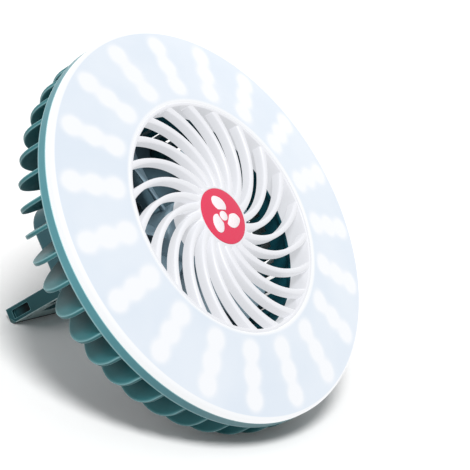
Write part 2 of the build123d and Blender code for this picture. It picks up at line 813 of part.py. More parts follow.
with BuildPart() as stand_bail:
    with BuildSketch(beside(-stand_width / 2)):
        with Locations((arm_centre_height, -(pivot_depth + stand_reach) / 2)):
            Rectangle(arm_height, stand_reach - pivot_depth)
        with Locations((arm_centre_height, -pivot_depth)):
            Circle(arm_height / 2)
        with Locations((arm_centre_height + arm_height / 4, -pivot_depth + heel_length / 2)):
            Rectangle(arm_height / 2, heel_length)
    extrude(amount=stand_width)
    with BuildSketch(behind(stand_reach - foot_depth)):
        with Locations((0, arm_centre_height)):
            Rectangle(stand_width - 2 * arm_width, 2 * arm_height)
    extrude(amount=stand_reach, mode=Mode.SUBTRACT)
    with BuildSketch(behind(channel_end)):
        with Locations(*arm_channel_points):
            Rectangle(arm_width - 2 * arm_wall, arm_height)
    extrude(amount=channel_end - channel_start, mode=Mode.SUBTRACT)
    for side in (-1, 1):
        with BuildSketch(beside(side * stand_width / 2)):
            with Locations((arm_centre_height, -stand_reach + pocket_end_wall + pocket_length / 2)):
                RectangleRounded(pocket_height, pocket_length, pocket_round)
        extrude(amount=-side * pocket_depth, mode=Mode.SUBTRACT)
    with BuildSketch(beside(-stand_width / 2)):
        with Locations((arm_centre_height, -pivot_depth)):
            Circle(pin_radius + pin_running_clearance)
    extrude(amount=stand_width, mode=Mode.SUBTRACT)
    with BuildSketch(beside(-stand_width / 2)):
        with BuildLine():
            Polyline(*corner_cut(sole_drop), close=True)
        make_face()
    extrude(amount=stand_width, mode=Mode.SUBTRACT)

with BuildPart() as foot_grip:
    with BuildSketch(beside(-stand_width / 2)):
        with BuildLine():
            Polyline(*corner_cut(sole_drop), close=True)
        make_face()
        with BuildLine():
            Polyline(*corner_cut(grip_sink), close=True)
        make_face(mode=Mode.SUBTRACT)
    extrude(amount=stand_width)

with BuildPart() as hinge_pin:
    with BuildSketch(beside(-stand_width / 2 + pin_recess)):
        with Locations((arm_centre_height, -pivot_depth)):
            Circle(pin_radius)
    extrude(amount=stand_width - 2 * pin_recess)

with BuildPart() as hinge_washers:
    for start in (-block_half_width - washer_thickness, block_half_width):
        with BuildSketch(beside(start)):
            with Locations((arm_centre_height, -pivot_depth)):
                Circle(washer_radius)
                Circle(pin_radius, mode=Mode.SUBTRACT)
        extrude(amount=washer_thickness)

# ---------------------------------------------------------------- writing the pieces
pieces = {
    "finned_housing": finned_housing,
    "led_board": led_board,
    "led_reflector": led_reflector,
    "led_chips": led_chips,
    "light_diffuser": light_diffuser,
    "rim_gasket": rim_gasket,
    "front_grille": front_grille,
    "hub_badge": hub_badge,
    "badge_symbol": badge_symbol,
    "fan_rotor": fan_rotor,
    "motor_can": motor_can,
    "rotor_magnet": rotor_magnet,
    "motor_shaft": motor_shaft,
    "shaft_clip": shaft_clip,
    "front_bearing": front_bearing,
    "rear_bearing": rear_bearing,
    "bearing_tube": bearing_tube,
    "stator_core": stator_core,
    "stator_coils": stator_coils,
    "motor_screws": motor_screws,
    "motor_plate": motor_plate,
    "plate_screws": plate_screws,
    "rear_pod": rear_pod,
    "pod_screws": pod_screws,
    "battery_cells": battery_cells,
    "cell_contacts": cell_contacts,
    "cell_cradle": cell_cradle,
    "main_board": main_board,
    "board_chips": board_chips,
    "usb_c_socket": usb_c_socket,
    "fan_button": fan_button,
    "light_button": light_button,
    "tact_switches": tact_switches,
    "charge_lenses": charge_lenses,
    "stand_bail": stand_bail,
    "foot_grip": foot_grip,
    "hinge_pin": hinge_pin,
    "hinge_washers": hinge_washers,
}

for label, piece in pieces.items():
    piece.part.label = label
    export_step(piece.part, f"parts/{label}.step")
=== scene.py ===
"""Looks of a portable camping fan with a ring of lights: finned teal housing, white lit face,
spiral grille with a red badge, and a stand folded out behind.

Shapes on the head are worked out in the head's own frame, in metres: x across the face, y up the
face and z straight out of it, from the centre of the rim's front edge. `on_head` puts them in place.
"""

import bmesh
import bpy
import json
import numpy as np
from math import cos, pi, radians, sin
from mathutils import Matrix, Vector


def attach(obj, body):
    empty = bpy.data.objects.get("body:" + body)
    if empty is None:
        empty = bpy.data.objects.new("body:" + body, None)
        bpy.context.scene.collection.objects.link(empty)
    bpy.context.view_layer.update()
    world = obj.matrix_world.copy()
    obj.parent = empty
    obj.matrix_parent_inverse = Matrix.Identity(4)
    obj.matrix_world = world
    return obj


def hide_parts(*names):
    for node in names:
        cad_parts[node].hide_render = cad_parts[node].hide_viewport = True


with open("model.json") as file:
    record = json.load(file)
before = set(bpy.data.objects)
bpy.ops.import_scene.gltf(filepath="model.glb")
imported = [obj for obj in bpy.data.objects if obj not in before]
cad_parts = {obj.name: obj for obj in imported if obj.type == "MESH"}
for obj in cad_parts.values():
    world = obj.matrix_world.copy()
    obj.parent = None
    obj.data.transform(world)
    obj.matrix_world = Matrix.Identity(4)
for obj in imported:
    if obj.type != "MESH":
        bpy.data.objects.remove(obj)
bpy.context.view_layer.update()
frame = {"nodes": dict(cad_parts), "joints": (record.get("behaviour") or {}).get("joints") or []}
joints = {joint["name"]: joint for joint in frame["joints"]}

MM = 0.001

# ---------------------------------------------------------------- sizes, in metres
FAN_MID_DEPTH = 20.5 * MM  # the spin joint sits this far behind the rim's front edge
RIM_RADIUS = 115 * MM
RIM_WALL = 2.5 * MM
BAND_DEPTH = 6.5 * MM
BAND_FRONT_HIGHLIGHT = 0.6 * MM  # height of the painted highlight line along the band's front edge
# height of the painted highlight line along the band's rear edge
BAND_REAR_HIGHLIGHT = 1.6 * MM
FLANGE_THICKNESS = 2.0 * MM
DRUM_INNER = 68.0 * MM
DRUM_OUTER = 70.5 * MM
FLANGE_INNER = DRUM_INNER + 1.2 * MM  # ends inside the drum's wall
DRUM_MIDDLE = (DRUM_INNER + DRUM_OUTER) / 2
DRUM_DEPTH = 40.0 * MM
FIN_COUNT = 45
FIN_THICKNESS = 2.4 * MM
FIN_SWIRL = radians(24)
FIN_FIRST = radians(2)
FIN_REACH = 114.4 * MM
FIN_SHOULDER = 9.0 * MM  # one more point on the straight part of a fin's outer edge
FIN_STRAIGHT = 13.0 * MM
FIN_DEPTH = 38.0 * MM
FIN_EDGE_ROUND = 0.55 * MM
FIN_HIGHLIGHT_LINE = 1.5 * MM  # width of the painted highlight line round a fin's faces
WINDOW_WIDTH = 4.4 * MM
WINDOW_FRONT = 16.0 * MM
WINDOW_REAR = 36.0 * MM
DRUM_FRONT = 1.5 * MM
LEDGE_THICKNESS = 2.0 * MM
LEDGE_REACH = 2.4 * MM
LEDGE_ROOT = 1.0 * MM  # how far the ledge goes into the drum's wall
LUG_RADIUS = 4.6 * MM
LUG_BORE = 1.5 * MM
LUG_HEIGHT = 9.0 * MM
LUG_SPACING = (64.0 * MM, 112.0 * MM)
RIM_STEPS = 240  # steps round the widest circles

RIM_WALL_HEIGHT = 5.2 * MM
RIM_ROUND = 2.3 * MM
LIP_ROUND = 0.8 * MM
SMALL_ROUND = 0.3 * MM
CONE_TOP = 13.8 * MM
DIFFUSER_LIP = 1.8 * MM
DIFFUSER_WALL = 1.9 * MM
LED_ROWS = 19
LED_PER_ROW = 3
LED_FIRST_RADIUS = 78.3 * MM
LED_PITCH = 13.1 * MM
LED_FIRST_AZIMUTH = radians(7.6)
LED_GLOW = 4.0 * MM

GRILLE_OUTER = 67.7 * MM
GRILLE_RING_WALL = 1.9 * MM
GRILLE_RING_DROP = 0.3 * MM  # its front lies this far behind the diffuser's lip
VANE_COUNT = 22
VANE_HUB_AZIMUTH = radians(151.6)
VANE_SWEEP = radians(43.0)
VANE_THICKNESS = (4.6 * MM, 4.0 * MM)  # at the hub and at the ring
VANE_WAIST = 1.3 * MM
VANE_CROWN = 1.3 * MM
VANE_FRONT = 13.3 * MM
VANE_DEPTH = 6.7 * MM
VANE_ROOT = 0.5 * MM
HUB_HEIGHT = 12.3 * MM
HUB_RADIUS = 17.6 * MM
HUB_SKIRT = 5.5 * MM
HUB_SKIRT_DROP = 5.3 * MM
HUB_REAR = 2.0 * MM
BADGE_RADIUS = 16.4 * MM
BADGE_SLACK = 0.2 * MM
BADGE_THICKNESS = 1.2 * MM
BADGE_DOME = 0.25 * MM  # how far the face falls toward its edge
BADGE_EDGE = 0.5 * MM  # one more point of the wall, this far below the top
SYMBOL_BLADES = 3
SYMBOL_INNER = 2.9 * MM
SYMBOL_GAP = 0.7 * MM
SYMBOL_REACH = 12.3 * MM
SYMBOL_HALF_WIDTH = 4.7 * MM
SYMBOL_SWEEP = radians(22)
SYMBOL_THICKNESS = 0.3 * MM

FAN_BLADES = 7
FAN_RADIUS = 61.0 * MM
FAN_HUB_RADIUS = 20.0 * MM
FAN_HUB_FRONT = 10.5 * MM
FAN_HUB_HEIGHT = 22.5 * MM
FAN_HUB_WALL = 1.8 * MM
FAN_HUB_FACE = 2.0 * MM
FAN_BOSS_RADIUS = 4.5 * MM
FAN_BOSS_REAR = 5.7 * MM
SHAFT_RADIUS = 1.5 * MM
BLADE_ROOT = 0.8 * MM  # how far the blades start inside the hub
BLADE_CHORD = (20.0 * MM, 31.0 * MM)  # at the root and at the tip
BLADE_THICKNESS = (2.6 * MM, 1.6 * MM)
BLADE_PITCH = (42.0, 24.0)  # degrees

POD_TOP = 45.0 * MM
POD_MID_DEPTH = 53.0 * MM
POD_GROOVE_DEPTH = 46.0 * MM
POD_GROOVE_HALF_WIDTH = 0.25 * MM
POD_GROOVE_SINK = 0.2 * MM
POD_SCREWS = ((50.0 * MM, 33.0 * MM), (52.0 * MM, -11.0 * MM))  # both sides of the middle
PLATE_SCREWS = ((32.0 * MM, 56.0 * MM), (32.0 * MM, -56.0 * MM))
BUTTON_PROUD = 1.2 * MM
FAN_BUTTON_X = -34.0 * MM
LIGHT_BUTTON_X = -16.0 * MM
BUTTON_MARK_REACH = 2.9 * MM
BUTTON_MARK_THICKNESS = 0.12 * MM

STAND_HALF = 25.3 * MM
STAND_REACH = 139.1 * MM
ARM_WIDTH = 9.1 * MM
ARM_LOW = 1.1 * MM  # how far up the face the arms' underside lies
ARM_CENTRE = 5.7 * MM
POCKET_MIDDLE = STAND_REACH - 11.0 * MM
POCKET_HALF_LENGTH = 7.0 * MM
POCKET_HALF_HEIGHT = 2.5 * MM
POCKET_BORDER = 0.2 * MM
POCKET_MOUTH = (-0.3 * MM, -0.7 * MM)  # the pocket's painted shade sets in between these, from the arm's outer side
POCKET_FLOOR = (-2.6 * MM, -2.3 * MM)  # and ends between these
SOLE_PAINTED_LIGHT = (ARM_LOW + 0.5 * MM, ARM_LOW + 0.1 * MM)  # the sole's painted light sets in between these heights
SLOT_HALF_WIDTH = 0.5 * MM
SLOT_HALF_LENGTH = 2.5 * MM
SLOT_SINK = 0.3 * MM

MERGE_DISTANCE = 1e-6  # points of a mesh that lie nearer than this become one

# ---------------------------------------------------------------- the head's frame
spin = joints["fan_spin"]
OUT = np.array(spin["axis"])
OUT = OUT / np.linalg.norm(OUT)
ACROSS = np.array([1.0, 0.0, 0.0])
UP_FACE = np.cross(OUT, ACROSS)
HEAD_ORIGIN = np.array(spin["pos_m"]) + FAN_MID_DEPTH * OUT


def on_head(points):
    """Points of the head's own frame moved into the object's frame: origin + x, y and z along its axes."""
    return HEAD_ORIGIN + points[..., :1] * ACROSS + points[..., 1:2] * UP_FACE + points[..., 2:3] * OUT


def stack(*coordinates):
    """Coordinates of any matching shapes joined into one array of points, the last axis being x, y, z."""
    return np.stack(np.broadcast_arrays(*coordinates), axis=-1)


def between(ends, share):
    """Value that goes evenly from the first end to the second while share goes from 0 to 1."""
    return ends[0] + (ends[1] - ends[0]) * share


def turned(points, angles):
    """Copies of points, one for each angle, turned about the head's axis by that angle."""
    angles = np.reshape(angles, (-1,) + (1,) * (points.ndim - 1))
    x, y, z = points[..., 0], points[..., 1], points[..., 2]
    cosine, sine = np.cos(angles), np.sin(angles)
    return stack(x * cosine - y * sine, x * sine + y * cosine, z + 0 * angles)


# ---------------------------------------------------------------- meshes
def grid_quads(rows, columns, wrap_rows=False, wrap_columns=False):
    """Faces of a grid of points, one for each cell; a wrapped side joins its last line to its first."""
    row = np.arange(rows if wrap_rows else rows - 1)[:, None]
    column = np.arange(columns if wrap_columns else columns - 1)[None, :]
    next_row, next_column = (row + 1) % rows, (column + 1) % columns
    corners = (row * columns + column, row * columns + next_column,
               next_row * columns + next_column, next_row * columns + column)
    return np.stack([np.broadcast_to(c, (row.size, column.size)).ravel() for c in corners], axis=-1)


def repeated(points, faces, copies):
    """Points of many like bodies, shaped (copies, points, 3), with the faces of one body given to each."""
    offsets = np.arange(copies)[:, None, None] * points.shape[1]
    return points.reshape(-1, 3), (faces[None] + offsets).reshape(-1, faces.shape[1])


def round_axis(loops, count, cap_tip=True):
    """Like bodies spread evenly round the head's axis, each one carried through a row of loops.

    A body is closed at its root, and if asked at its tip, by one more loop with all its points in the middle.
    """
    root, tip = (np.broadcast_to(loops[end].mean(axis=0), loops[end].shape)[None] for end in (0, -1))
    points = np.concatenate([root, loops, tip] if cap_tip else [root, loops])
    faces = grid_quads(*points.shape[:2], wrap_columns=True)
    return repeated(turned(points.reshape(-1, 3), np.arange(count) * 2 * pi / count), faces, count)


def piece(name, points, faces, material, body, replaces=(), slot=None, flat_over=35, edge=None):
    """Closed mesh from arrays of points in the object's frame and of faces: doubles merged, normals outward.

    Edge is a number from 0 to 1 for each point, kept as an attribute that the material may read as a painted
    highlight.
    """
    mesh = bpy.data.meshes.new(name)
    mesh.from_pydata(points.reshape(-1, 3).tolist(), [], np.asarray(faces).tolist())
    if edge is not None:
        attribute = mesh.attributes.new("edge", "FLOAT", "POINT")
        attribute.data.foreach_set("value", np.asarray(edge, float).ravel())
    shape = bmesh.new()
    shape.from_mesh(mesh)
    bmesh.ops.remove_doubles(shape, verts=shape.verts, dist=MERGE_DISTANCE)
    bmesh.ops.dissolve_degenerate(shape, edges=shape.edges, dist=MERGE_DISTANCE)
    bmesh.ops.recalc_face_normals(shape, faces=shape.faces)
    shape.to_mesh(mesh)
    shape.free()
    mesh.shade_smooth()
    mesh.set_sharp_from_angle(angle=radians(flat_over))
    mesh.materials.append(material)
    made = bpy.data.objects.new(name, mesh)
    bpy.context.scene.collection.objects.link(made)
    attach(made, body)
    if replaces:
        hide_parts(*replaces)
    return made


def rounded(corners, rounds, steps=5):
    """Closed outline through corners, each one cut back by its rounding and joined by an even curve.

    The curve is the quadratic one whose middle control point is the corner itself.
    """
    corners = np.array(corners, float)
    before, after = np.roll(corners, 1, axis=0), np.roll(corners, -1, axis=0)
    rounds = np.broadcast_to(np.asarray(rounds, float), len(corners))[:, None]
    start = corners + (before - corners) / np.linalg.norm(before - corners, axis=1)[:, None] * rounds
    end = corners + (after - corners) / np.linalg.norm(after - corners, axis=1)[:, None] * rounds
    t = np.linspace(0, 1, steps)[None, :, None]
    curve = (1 - t) ** 2 * start[:, None] + 2 * t * (1 - t) * corners[:, None] + t**2 * end[:, None]
    return curve.reshape(-1, corners.shape[1])


def lathe(outline, segments, centre=(0.0, 0.0), closed=True):
    """Outline of (radius, height) turned about the head's axis, or about a parallel one through centre.

    Point (i, j) is (centre + r_j cos a_i, centre + r_j sin a_i, h_j) with a_i even round the circle. An
    outline that starts and ends on the axis isn't closed.
    """
    turn = np.linspace(0, 2 * pi, segments, endpoint=False)[:, None]
    radius, height = outline[None, :, 0], outline[None, :, 1]
    points = stack(centre[0] + radius * np.cos(turn), centre[1] + radius * np.sin(turn), height)
    return points, grid_quads(segments, len(outline), wrap_rows=True, wrap_columns=closed)


def lathe_piece(name, outline, segments, material, body, closed=True, **options):
    """Lathed outline as a piece on the head's axis."""
    points, faces = lathe(np.asarray(outline), segments, closed=closed)
    return piece(name, on_head(points), faces, material, body, **options)


def joined(*solids):
    """Several (points, faces) pairs as one pair; their points keep their places."""
    points, faces, count = [], [], 0
    for solid_points, solid_faces in solids:
        points.append(solid_points.reshape(-1, 3))
        faces.append(np.asarray(solid_faces) + count)
        count += len(points[-1])
    return np.concatenate(points), np.concatenate(faces)


# ---------------------------------------------------------------- shader sums
class Socket:
    """A shader socket that takes part in sums: an expression on it adds the Math nodes it needs."""

    def __init__(self, board, socket):
        self.board = board
        self.socket = socket

    def math(self, operation, *others):
        return self.board.node("ShaderNodeMath", {"operation": operation}, [self, *others])

    def __add__(self, other):
        return self.math("ADD", other)

    def __radd__(self, other):
        return self.math("ADD", other)

    def __sub__(self, other):
        return self.math("SUBTRACT", other)

    def __rsub__(self, other):
        return self.board.node("ShaderNodeMath", {"operation": "SUBTRACT"}, [other, self])

    def __mul__(self, other):
        return self.math("MULTIPLY", other)

    def __rmul__(self, other):
        return self.math("MULTIPLY", other)

    def __truediv__(self, other):
        return self.math("DIVIDE", other)

    def __rtruediv__(self, other):
        return self.board.node("ShaderNodeMath", {"operation": "DIVIDE"}, [other, self])

    def step(self, start, end):
        """Smooth step from 0 at start to 1 at end; start may be the larger one."""
        settings = {"interpolation_type": "SMOOTHSTEP"}
        sockets = {"Value": self, "From Min": start, "From Max": end}
        return self.board.node("ShaderNodeMapRange", settings, sockets)


class Board:
    """A material's node tree, with one method that adds any node."""

    def __init__(self, name):
        self.material = bpy.data.materials.new(name)
        self.material.use_nodes = True
        self.tree = self.material.node_tree
        self.tree.nodes.clear()
        self.output = self.tree.nodes.new("ShaderNodeOutputMaterial")

    def node(self, kind, settings=None, inputs=None, output=0):
        """Adds a node: its settings first, then values or links for its sockets, by place or by name."""
        made = self.tree.nodes.new(kind)
        for key, value in (settings or {}).items():
            setattr(made, key, value)
        pairs = inputs.items() if isinstance(inputs, dict) else enumerate(inputs or [])
        for key, value in pairs:
            if isinstance(value, Socket):
                self.tree.links.new(value.socket, made.inputs[key])
            else:
                made.inputs[key].default_value = value
        return Socket(self, made.outputs[output])

    def place(self):
        """Shaded point in the coordinates of its own piece."""
        return self.node("ShaderNodeTexCoord", output="Object")

    def along(self, direction, origin):
        """How far the shaded point lies from origin along a direction, in metres."""
        moved = self.node("ShaderNodeVectorMath", {"operation": "SUBTRACT"}, [self.place(), tuple(origin)])
        dot = {"operation": "DOT_PRODUCT"}
        return self.node("ShaderNodeVectorMath", dot, [moved, tuple(direction)], output="Value")

    def head_place(self):
        """Shaded point in the head's own frame: across the face, up it, and out of it."""
        return [self.along(direction, HEAD_ORIGIN) for direction in (ACROSS, UP_FACE, OUT)]

    def noise(self, scale, detail=3.0, roughness=0.55, distortion=0.0):
        """Noise over the object; scale is in features per metre."""
        sockets = {"Vector": self.place(), "Scale": scale, "Detail": detail,
                   "Roughness": roughness, "Distortion": distortion}
        return self.node("ShaderNodeTexNoise", {}, sockets)

    def mixed(self, factor, first, second):
        """Blend of two colours; 0, 6, 7 and 2 are the places of the Mix node's sockets for colours."""
        settings = {"data_type": "RGBA", "blend_type": "MIX"}
        return self.node("ShaderNodeMix", settings, {0: factor, 6: first, 7: second}, output=2)

    def bumped(self, height, depth, strength=1.0, rounded_edges=0.0):
        """Normal from a height; depth is in metres. Edges may be rounded by a radius as well."""
        sockets = {"Height": height, "Distance": depth, "Strength": strength}
        if rounded_edges:
            sockets["Normal"] = self.node("ShaderNodeBevel", {"samples": 6}, {"Radius": rounded_edges})
        return self.node("ShaderNodeBump", {}, sockets)

    def finish(self, **sockets):
        """Closes the tree with one Principled shader; socket names are written with underscores."""
        named = {key.replace("_", " "): value for key, value in sockets.items()}
        shader = self.node("ShaderNodeBsdfPrincipled", {}, named)
        self.tree.links.new(shader.socket, self.output.inputs["Surface"])
        return self.material


def colour(hex_code):
    """Linear colour of an sRGB code such as 4E8A90."""
    channels = np.array([int(hex_code[i : i + 2], 16) for i in (0, 2, 4)]) / 255
    linear = np.where(channels <= 0.04045, channels / 12.92, ((channels + 0.055) / 1.055) ** 2.4)
    return (*linear.tolist(), 1.0)


# ---------------------------------------------------------------- finishes
PAINTED_HIGHLIGHT_REACH = 0.9 * MM  # how far the painted highlight along a moulded edge reaches
SOFT_EDGE = 0.4 * MM  # rounding that the light sees on every moulded edge
FINE_GRAIN = 0.01 * MM
LENS_GRAIN = 0.005 * MM
RECESS_HALF_WIDTH = 0.42 * MM  # bars of a screw's cross
RECESS_REACH = 1.6 * MM
FIN_PAINTED_SHADE_START = FIN_REACH - 8.0 * MM  # painted shade on the fins deepens from here toward the drum
WHITE_RIM = (RIM_RADIUS - 2.1 * MM, RIM_RADIUS - 1.5 * MM)  # the lit cover turns white between these radii
WHITE_MOUTH = (DRUM_INNER + 2.6 * MM, DRUM_INNER + 0.6 * MM)


def within(value, half_width, blur=0.25 * MM):
    """1 where a socket lies within half_width of 0, and 0 outside, with a soft border."""
    return value.math("ABSOLUTE").step(half_width + blur / 2, half_width - blur / 2)


def pod_groove(board):
    """Fine groove round the pod, where its two mouldings meet."""
    out = board.head_place()[2]
    return [(within(out + POD_GROOVE_DEPTH, POD_GROOVE_HALF_WIDTH), "143A44", POD_GROOVE_SINK)]


def painted_root_shade(board):
    """Painted shade, deeper toward the roots of the fins, where they meet the drum."""
    x, up, _ = board.head_place()
    radius = (x * x + up * up).math("SQRT")
    return [(radius.step(FIN_PAINTED_SHADE_START, DRUM_OUTER) * 0.75, "06272E", 0.0)]


def stand_marks(board):
    """Painted shade in the blind pockets, deepest at their inner end; a paler sole, painted light for light
    from the floor; and one short slot in the sole of each arm, darkened with painted shade.
    """
    x, up, out = board.head_place()
    aside = x.math("ABSOLUTE") - STAND_HALF
    sunk = aside.step(*POCKET_MOUTH) * aside.step(*POCKET_FLOOR)
    from_middle = out + POCKET_MIDDLE
    lengthwise = within(from_middle, POCKET_HALF_LENGTH + POCKET_BORDER)
    pocket = sunk * lengthwise * within(up - ARM_CENTRE, POCKET_HALF_HEIGHT + POCKET_BORDER)
    # painted light on the sole, for light from the floor below
    sole = up.step(*SOLE_PAINTED_LIGHT)
    # painted shade in the slot
    slot = sole * within(aside + ARM_WIDTH / 2, SLOT_HALF_WIDTH) * within(from_middle, SLOT_HALF_LENGTH)
    # painted shade, deepest toward the pocket's inner end
    shade_deepening = from_middle.step(-POCKET_HALF_LENGTH, POCKET_HALF_LENGTH / 2) * 0.8 + 0.2
    return [(pocket * shade_deepening, "020B0E", 0.0), (sole, "C6DCDC", 0.0), (slot, "1C4A4E", SLOT_SINK)]


def moulded(name, shade, deep_shade, roughness=0.42, grain=0.03 * MM, painted_edge_highlight=None, glow=None, marks=None,
            gloss_level=0.5):
    """Moulded plastic: broad cloudy colour drift, fine spark-eroded grain, faint flow marks in the gloss.

    Edges get a painted highlight: they turn paler where the normal smoothed over a short distance leaves the
    surface's own normal, or where the piece's own "edge" attribute says so. A glow, painted light on a
    surface that is no lamp, is its colour and its strength. Marks is a function of the board that gives
    (mask, colour, depth) for each mark; a mark is duller than what lies round it.
    """
    board = Board(name)
    cloud = board.noise(14, 3, 0.6)
    grain_fine = board.noise(3800, 2, 0.6)
    grain_broad = board.noise(900, 2, 0.5)
    flow = board.noise(60, 4, 0.6, 0.4)
    base = board.mixed(cloud.step(0.3, 0.72), colour(deep_shade), colour(shade))
    # painted highlight: edges turn paler, standing for light caught along them
    if painted_edge_highlight:
        smoothed = board.node("ShaderNodeBevel", {"samples": 6}, {"Radius": PAINTED_HIGHLIGHT_REACH})
        plain = board.node("ShaderNodeNewGeometry", output="Normal")
        likeness = board.node("ShaderNodeVectorMath", {"operation": "DOT_PRODUCT"}, [smoothed, plain],
                              output="Value")
        highlight_mark = board.node("ShaderNodeAttribute", {"attribute_name": "edge"}, output="Fac")
        pale = likeness.step(0.995, 0.86).math("MAXIMUM", highlight_mark) * 0.85
        base = board.mixed(pale, base, colour(painted_edge_highlight))
    gloss = roughness - 0.05 + flow * 0.1 + (grain_broad - 0.5) * 0.08
    height = grain_fine * 0.6 + grain_broad * 0.4
    for mask, mark_shade, depth in marks(board) if marks else ():
        base = board.mixed(mask, base, colour(mark_shade))
        gloss = gloss + mask * 0.5
        height = height - mask * (depth / grain)
    normal = board.bumped(height, grain, 0.6, SOFT_EDGE)
    sockets = {"Base_Color": base, "Roughness": gloss, "Normal": normal, "Specular_IOR_Level": gloss_level}
    # painted light: the surface glows though it is no lamp
    if glow:
        sockets.update(Emission_Color=colour(glow[0]), Emission_Strength=glow[1])
    return board.finish(**sockets)


def metal(name, shade, deep_shade, roughness=0.3, lines=(1.0, 1.0, 1.0)):
    """Machined metal: fine lines stretched along the directions with small factors, and small dark specks."""
    board = Board(name)
    stretched = board.node("ShaderNodeMapping", {}, {"Vector": board.place(), "Scale": lines})
    brush = board.node("ShaderNodeTexNoise", {}, {"Vector": stretched, "Scale": 2500, "Detail": 3})
    specks = board.noise(700, 2, 0.5)
    base = board.mixed(specks.step(0.35, 0.6), colour(deep_shade), colour(shade))
    normal = board.bumped(brush, 0.02 * MM, 0.5, 0.2 * MM)
    gloss = roughness - 0.06 + brush * 0.12
    return board.finish(Base_Color=base, Metallic=1.0, Roughness=gloss, Normal=normal)


def cross_head(name, shade, deep_shade, places):
    """Steel screws, each head with a cross recess: two short bars round its middle, sunk and darkened with
    painted shade.

    A place is how far a pair of screws lies to both sides of the middle, and how far up the face.
    """
    board = Board(name)
    x, up, _ = board.head_place()
    cross = 0.0
    for place_x, place_up in places:
        aside, above = x.math("ABSOLUTE") - place_x, up - place_up
        bars = [within(one, RECESS_HALF_WIDTH) * within(other, RECESS_REACH)
                for one, other in ((aside, above), (above, aside))]
        cross = bars[0].math("MAXIMUM", bars[1]).math("MAXIMUM", cross)
    turning = board.node("ShaderNodeTexNoise", {}, {"Vector": board.place(), "Scale": 1800, "Detail": 3})
    steel = board.mixed(turning, colour(deep_shade), colour(shade))
    normal = board.bumped(turning * 0.05 - cross, 0.4 * MM, 0.8, 0.3 * MM)
    # painted shade in the cross recess
    return board.finish(Base_Color=board.mixed(cross, steel, colour("23262A")), Metallic=1 - cross * 0.6,
                        Roughness=0.28 + turning * 0.14, Normal=normal)


def rubber(name, shade, deep_shade, rib_pitch=None):
    """Soft rubber: matte, with a fine pebbled skin and a dusty bloom in patches; ribs run across if asked,
    with painted shade in the grooves between them.
    """
    board = Board(name)
    cells = {"Vector": board.place(), "Scale": 1600}
    pebble = board.node("ShaderNodeTexVoronoi", {}, cells, output="Distance")
    bloom = board.noise(45, 3, 0.6)
    base = board.mixed(bloom.step(0.35, 0.75), colour(deep_shade), colour(shade))
    height = pebble
    if rib_pitch:
        rib = (board.along(ACROSS, HEAD_ORIGIN) * (2 * pi / rib_pitch)).math("SINE").step(-0.6, 0.2)
        # painted shade in the grooves between the ribs
        base = board.mixed(rib, colour("243A3D"), base)
        height = pebble + rib * 5
    normal = board.bumped(height, 0.08 * MM, 0.7, 0.3 * MM)
    return board.finish(Base_Color=base, Roughness=0.72 + bloom * 0.12, Normal=normal)


def lit_diffuser(name):
    """Opal cover of the light ring: white rim, pale blue cone, and a soft bright spot over each light.

    The glow is the sum of one bell curve, exp(-d²/2g²), for each light of the nearest row, so that
    neighbouring spots run into each other.
    """
    board = Board(name)
    x, y = board.along(ACROSS, HEAD_ORIGIN), board.along(UP_FACE, HEAD_ORIGIN)
    radius = (x * x + y * y).math("SQRT")
    azimuth = y.math("ARCTAN2", x)
    pitch = 2 * pi / LED_ROWS
    row_turn = (azimuth - LED_FIRST_AZIMUTH + pitch / 2 + 4 * pi) / pitch
    waver = (board.noise(110, 2) - 0.5) * (2.0 * MM)
    side = (row_turn.math("FRACT") - 0.5) * pitch * radius + waver
    glow = 0.0
    for place in range(LED_PER_ROW):
        along = radius - (LED_FIRST_RADIUS + place * LED_PITCH)
        glow = ((side * side + along * along) / (-2 * LED_GLOW**2)).math("EXPONENT") + glow
    spot = glow.step(0.04, 0.5)
    rim = radius.step(*WHITE_RIM)
    mouth = radius.step(*WHITE_MOUTH)
    cloud = board.noise(22, 3, 0.5)
    cone = board.mixed(cloud.step(0.3, 0.7), colour("E3ECF6"), colour("EAF1F9"))
    lit = board.mixed(spot, cone, colour("FCFDFF"))
    lit = board.mixed(rim.math("MAXIMUM", mouth), lit, colour("FDFEFF"))
    texture = board.noise(2600, 2, 0.5)
    normal = board.bumped(texture, 0.02 * MM, 0.4)
    return board.finish(Base_Color=board.mixed(0.9, lit, colour("3A4048")), Emission_Color=lit,
                        Emission_Strength=0.78, Roughness=0.4 + cloud * 0.08, Normal=normal)


def glowing(name, shade, strength):
    """Small light source whose white turns slightly warmer in patches."""
    board = Board(name)
    drift = board.noise(400, 2)
    tint = board.mixed(drift, colour(shade), colour("FFFFFF"))
    return board.finish(Base_Color=tint, Emission_Color=tint, Emission_Strength=strength, Roughness=0.3)


# Edge colours below are painted highlights; the housing's marks paint shade toward the fins' roots.
teal_housing = moulded("teal_housing", "296D73", "23656B", 0.42, painted_edge_highlight="8FBEC2", marks=painted_root_shade,
                       gloss_level=0.2)
# The band is lighter than the fins of the same moulding: painted light, with painted highlights on its edges.
teal_band_painted_light = moulded("teal_band_painted_light", "4C8D97", "43858F", 0.36, painted_edge_highlight="A6D2D6")
# The duct is a darker copy of the housing's teal: painted shade inside the drum.
teal_duct_painted_shade = moulded("teal_duct_painted_shade", "0D4650", "093F49", 0.5, gloss_level=0.2)
teal_pod = moulded("teal_pod", "29646E", "235B65", 0.4, painted_edge_highlight="6FA5AE", marks=pod_groove,
                   gloss_level=0.35)
# The stand's marks paint shade in its pockets and slots and light on its sole.
teal_stand = moulded("teal_stand", "0A4A50", "084348", 0.45, painted_edge_highlight="6B9EA4", marks=stand_marks,
                     gloss_level=0.25)
